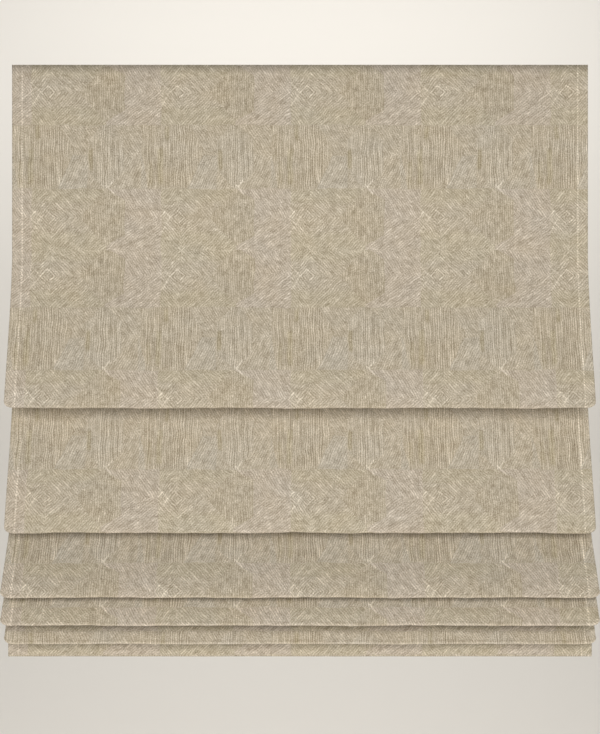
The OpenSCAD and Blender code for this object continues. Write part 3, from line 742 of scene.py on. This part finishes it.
    # Nested diamonds beside each node, and the rays that leave it
    xs = maths("WRAP", p - 59.0, REPEAT_W / 2, -REPEAT_W / 2)
    ring = maths("ABSOLUTE", maths("ABSOLUTE", xs - 29.0) + h * 1.07 - 29.0)
    ring_2 = maths("ABSOLUTE", maths("ABSOLUTE", xs - 40.0) + h * 1.07 - 84.0)
    rings = (1.0 - ramp(ring, 1.0, 4.5)) + (1.0 - ramp(ring_2, 1.0, 4.5)) * 0.6
    rings = rings - (1.0 - ramp(maths("ABSOLUTE", ring - 8.0), 1.0, 4.0)) * 0.5
    rays = stroke_at(xs, r_diamond, 0.0, 0.0, 123.0, 150.0, 4.0)
    rays = rays + stroke_at(xs, r_diamond, 0.0, 0.0, -135.0, 70.0, 4.0)
    broken = ramp(dash, -0.24, 0.0) * (1.0 - banded)
    tone = tone + (rings * RING + rays * RAY) * broken + crossing * CROSSING
    tone = tone + seam * (SEAM + stitch * SEAM_STITCH) + painted_edge_light + hem * HEM_PALE

    # Drift of the dye between pinkish, olive and blue-grey
    drift = noise(vector(tree, u / 70.0 + 3.0, v / 55.0), detail=2.0) - 0.5
    drift_2 = noise(vector(tree, u / 38.0 - 7.0, v / 30.0 + 5.0), detail=2.0) - 0.5

    def patch(p0, p1, q0, q1, soft=5.0):
        inside_p = above(p, p0, soft) * (1.0 - above(p, p1, soft))
        return inside_p * above(q, q0, soft * 2) * (1.0 - above(q, q1, soft * 2))

    plain = 1.0 - banded
    tone = tone + plain * (chevron * CHEVRON_PALE - hexagon * HEXAGON_DARK) - upright * UPRIGHT_DARK
    outer = diamond * ramp(h, 45.0, 75.0)
    fan = (1.0 - upright) * low * banded * (1.0 - above(pb, 306.0))
    node_far = maths("MINIMUM", xn, REPEAT_W - xn)
    node = plain * (1.0 - ramp(maths("SQRT", node_far * node_far + h * h), 8.0, 80.0))
    rust = patch(250, 267, 332, 412)
    olive = patch(38, 53, 240, 292) + patch(489, 506, 380, 470) * 0.5 + patch(9, 30, 330, 470)
    spots = patch(422, 440, 350, 370) * 2.0 + patch(260, 271, 280, 330, 3.0) * 1.6

    tints = [
        (plain * hexagon, HEXAGON_TINT), (plain * outer, OUTER_TINT), (plain * chevron, CHEVRON_TINT),
        (banded * bands, BANDS_TINT), (fan, FAN_TINT), (banded * stripes, STRIPES_TINT),
        (drift, DRIFT_TINT), (drift_2, DRIFT_2_TINT),
    ]
    glow = node * (NODE_GLOW + line * NODE_LINE) + spots * SPOT
    base = []
    for k, level in enumerate(DISPLAY_BASE):
        tint = sum(area * levels[k] for area, levels in tints)
        part = tone + glow + tint * TINT - rust * RUST[k] - olive * OLIVE[k]
        base.append((part + level) / 255.0)
    feed(tree, colour_of(tree, *base), shader.inputs["Base Color"])
    knots = maths("SINE", u * (math.pi / 0.85)) * maths("SINE", v * (math.pi / 0.95))
    add_bump(tree, shader, knots * 0.3 + hatch * 0.03 + grain * 1.5 + seam * stitch * 0.6, 0.4, 0.25 * MM)
    return material


def by_place(tree):
    """The point in the blind's frame, in millimetres"""
    where = tree.nodes.new("ShaderNodeTexCoord")
    split = tree.nodes.new("ShaderNodeSeparateXYZ")
    tree.links.new(where.outputs["Object"], split.inputs[0])
    return [Term(tree, split.outputs[k]) * 1000.0 for k in range(3)]


def tinted(tree, shader, colour, change):
    """The colour, made paler or darker by change, in display levels"""
    feed(tree, colour_of(tree, *[(change + level) / 255.0 for level in colour]), shader.inputs["Base Color"])


def lining_sateen(name, mapped):
    """Cotton sateen: floats of thread on a fine slanting line, a little uneven"""
    material, tree, shader = new_material(
        name, 0.8, Specular_IOR_Level=0.3, Sheen_Weight=0.15, Sheen_Roughness=0.4,
    )
    if mapped:
        u, v = by_metres(tree, "cloth_metres")
        u, v = u * 1000.0, v * 1000.0
    else:
        u, y, z = by_place(tree)
        v = y + z
    twill = maths("SINE", (u + v * 0.5) * (2 * math.pi / 0.9))
    yarn = noise(vector(tree, u / 0.5, v / 4.0), detail=2.0) - 0.5
    cross = noise(vector(tree, u / 5.0 + 30.0, v / 0.6), detail=2.0) - 0.5
    cloud = noise(vector(tree, u / 60.0, v / 60.0 + 9.0), detail=2.0) - 0.5
    tinted(tree, shader, (233, 228, 216), twill * 2.5 + yarn * 16.0 + cross * 14.0 + cloud * 10.0)
    add_bump(tree, shader, twill * 0.4 + yarn + cross * 0.8, 0.3, 0.15 * MM)
    return material


def cord_braid():
    """Polyester braid: strands that cross on two slants round the cord"""
    material, tree, shader = new_material("cord_braid", 0.62, Specular_IOR_Level=0.4, Sheen_Weight=0.1)
    around, along = by_metres(tree, "cord_metres")
    lay = along * (2 * math.pi / 0.0022)
    turn = around * (2 * math.pi * 3)
    strands = maths("SINE", turn + lay) * maths("SINE", turn - lay)
    fuzz = noise(vector(tree, around * 9.0, along * 2500.0), detail=2.0) - 0.5
    tinted(tree, shader, (236, 233, 225), strands * 10.0 + fuzz * 18.0 - 6.0)
    add_bump(tree, shader, strands + fuzz * 0.4, 0.6, 0.15 * MM)
    return material


def moulded(name, colour, roughness, sparkle=6.0):
    """Moulded plastic: a fine spark texture, slow flow marks and rubbed patches"""
    material, tree, shader = new_material(name, roughness, Specular_IOR_Level=0.45)
    x, y, z = by_place(tree)
    spark = noise(vector(tree, x / 0.22, y / 0.22, z / 0.22), detail=2.0, flat=False) - 0.5
    flow = noise(vector(tree, x / 14.0, y / 5.0, z / 5.0), detail=2.0, flat=False) - 0.5
    tinted(tree, shader, colour, spark * sparkle + flow * 9.0)
    feed(tree, flow * 0.22 + spark * 0.10 + roughness, shader.inputs["Roughness"])
    add_bump(tree, shader, spark + flow * 0.5, 0.25, 0.06 * MM)
    return material


def drawn_metal(name, colour, roughness, streak=(60.0, 0.35, 0.35), spangle=0.0):
    """Metal with fine lines along its length, and zinc flowers where it is plated"""
    material, tree, shader = new_material(name, roughness, Metallic=1.0)
    x, y, z = by_place(tree)
    lines = noise(vector(tree, x / streak[0], y / streak[1], z / streak[2]), detail=3.0, flat=False) - 0.5
    haze = noise(vector(tree, x / 9.0, y / 9.0, z / 9.0), detail=3.0, flat=False) - 0.5
    change = lines * 26.0 + haze * 16.0
    if spangle:
        cells = tree.nodes.new("ShaderNodeTexVoronoi")
        feed(tree, vector(tree, x / 3.2, y / 3.2, z / 3.2), cells.inputs["Vector"])
        flower = tree.nodes.new("ShaderNodeSeparateColor")
        tree.links.new(cells.outputs["Color"], flower.inputs[0])
        change = change + (Term(tree, flower.outputs[0]) - 0.5) * spangle
    tinted(tree, shader, colour, change)
    feed(tree, lines * 0.25 + haze * 0.2 + roughness, shader.inputs["Roughness"])
    add_bump(tree, shader, lines, 0.2, 0.05 * MM)
    return material


def powder_coat(name, colour):
    """Powder-coated aluminium: a soft orange-peel skin with a few dust marks"""
    material, tree, shader = new_material(name, 0.42, Specular_IOR_Level=0.5)
    x, y, z = by_place(tree)
    peel = noise(vector(tree, x / 0.9, y / 0.9, z / 0.9), detail=1.0, flat=False) - 0.5
    dust = noise(vector(tree, x / 22.0, y / 7.0, z / 7.0), detail=4.0, flat=False) - 0.5
    tinted(tree, shader, colour, peel * 3.0 + dust * 10.0)
    feed(tree, dust * 0.25 + 0.42, shader.inputs["Roughness"])
    add_bump(tree, shader, peel, 0.25, 0.12 * MM)
    return material


def tape(name, colour, pile, depth):
    """Touch tape: rows of hooks, or a felted pile of loops"""
    material, tree, shader = new_material(name, 0.85, Specular_IOR_Level=0.3)
    x, y, z = by_place(tree)
    rows = maths("SINE", x * (2 * math.pi / pile)) * maths("SINE", z * (2 * math.pi / pile))
    felt = noise(vector(tree, x / 0.5, y / 0.5, z / 0.5), detail=3.0, flat=False) - 0.5
    tinted(tree, shader, colour, rows * 10.0 + felt * 26.0)
    add_bump(tree, shader, rows * 0.6 + felt, 0.7, depth * MM)
    return material


def glass_fibre():
    """Pultruded rod: long glass threads under a thin pale resin"""
    material, tree, shader = new_material("glass_fibre", 0.35, Specular_IOR_Level=0.5, Coat_Weight=0.15)
    x, y, z = by_place(tree)
    threads = noise(vector(tree, x / 40.0, y / 0.25, z / 0.25), detail=2.0, flat=False) - 0.5
    cloud = noise(vector(tree, x / 30.0, y / 4.0, z / 4.0), detail=2.0, flat=False) - 0.5
    tinted(tree, shader, (226, 223, 205), threads * 30.0 + cloud * 12.0)
    feed(tree, threads * 0.2 + 0.35, shader.inputs["Roughness"])
    add_bump(tree, shader, threads, 0.2, 0.05 * MM)
    return material


FINISHES = {
    powder_coat("rail_coat", (232, 230, 224)): ["headrail"],
    drawn_metal("zinc_plate", (176, 179, 182), 0.36, spangle=30.0): ["bracket_left", "bracket_right"],
    drawn_metal("screw_steel", (166, 166, 168), 0.3, streak=(3.0, 0.2, 3.0)): ["cover_screws", "wrap_spring"],
    drawn_metal("shaft_steel", (150, 152, 155), 0.4): ["drive_shaft"],
    drawn_metal("bar_aluminium", (190, 192, 194), 0.34): ["bottom_bar"],
    moulded("housing_plastic", (226, 223, 215), 0.46): ["end_cap", "drive_housing", "drive_cover"],
    moulded("cradle_plastic", (214, 214, 210), 0.5): ["cradle_left", "cradle_centre", "cradle_right"],
    moulded("spool_plastic", (205, 206, 204), 0.42): [
        "spool_left", "spool_centre", "spool_right", "shaft_bush", "output_hub", "chain_wheel",
    ],
    moulded("clip_nylon", (238, 235, 226), 0.4): ["cord_clips_%d" % k for k in range(1, 7)] + ["cord_stops"],
    moulded("rod_cap_vinyl", (234, 230, 220), 0.55): ["rod_caps_upper", "rod_caps_lifted"],
    moulded("bar_cap_plastic", (112, 116, 111), 0.5): ["bottom_bar_caps"],
    tape("hook_tape_face", (232, 228, 218), 1.3, 0.5): ["hook_tape"],
    tape("loop_tape_face", (236, 232, 224), 0.8, 0.4): ["loop_tape"],
    glass_fibre(): ["rod_%d" % k for k in range(1, 7)],
}
for finish, names in FINISHES.items():
    for name in names:
        for held in nodes[name].material_slots:
            held.material = finish

# Stage and light, in metres
FLOOR_Z = -2.1
WALL_Y, WALL_TOP = 4.0, 5.0
STAGE_FRONT, STAGE_HALF = -7.0, 7.0
STAGE_BEND, BEND_STEPS = 1.2, 12
PAPER = (0.80, 0.77, 0.72)
LAMP_COLOUR = (1.0, 0.99, 0.975)


def flat_material(name, colour):
    material, _, shader = new_material(name, 0.9)
    shader.inputs["Base Color"].default_value = (*colour, 1)
    return material


def backdrop():
    """A floor that curves up into a wall, well behind the blind"""
    foot = WALL_Y - STAGE_BEND
    line = [(STAGE_FRONT, FLOOR_Z), (foot, FLOOR_Z)]
    for step in range(1, BEND_STEPS + 1):
        a = math.pi / 2 * step / BEND_STEPS
        line.append((foot + STAGE_BEND * math.sin(a), FLOOR_Z + STAGE_BEND - STAGE_BEND * math.cos(a)))
    line.append((WALL_Y, WALL_TOP))
    points = [(x / MM, y / MM, z / MM) for y, z in line for x in (-STAGE_HALF, STAGE_HALF)]
    faces = [(2 * i, 2 * i + 1, 2 * i + 3, 2 * i + 2) for i in range(len(line) - 1)]
    piece = mesh_piece("backdrop", points, faces)
    piece.data.materials.append(flat_material("studio_paper", PAPER))


backdrop()


def area_light(name, place, aim, size, power):
    data = bpy.data.lights.new(name, "AREA")
    data.shape = "RECTANGLE"
    data.size, data.size_y = size
    data.energy = power
    data.color = LAMP_COLOUR
    lamp = bpy.data.objects.new(name, data)
    bpy.context.scene.collection.objects.link(lamp)
    lamp.location = place
    lamp.rotation_euler = (Vector(aim) - Vector(place)).to_track_quat("-Z", "Y").to_euler()
    lamp.visible_camera = False


area_light("front_light", (0, -1.7, -0.12), (0, 0, -0.35), (2.6, 0.8), 26)
area_light("low_light", (0, -1.5, -1.7), (0, 0, -0.75), (3.0, 0.6), 18)
area_light("back_light", (0, 2.4, 1.7), (0, 0, -0.45), (2.6, 1.2), 30)
area_light("wall_light", (0, 1.6, 1.9), (0, 4.0, -1.0), (5.0, 1.2), 105)
world = bpy.data.worlds.new("studio")
world.use_nodes = True
world.node_tree.nodes["Background"].inputs["Color"].default_value = (1.0, 0.99, 0.97, 1)
world.node_tree.nodes["Background"].inputs["Strength"].default_value = 0.12
bpy.context.scene.world = world
bpy.context.scene.view_settings.view_transform = "Standard"

face.data.materials.append(face_weave())
lining.data.materials.append(lining_sateen("lining_sateen", True))
pocket_cloth = lining_sateen("pocket_sateen", False)
for piece in pockets:
    piece.data.materials.append(pocket_cloth)
braid = cord_braid()
for piece in cords:
    piece.data.materials.append(braid)
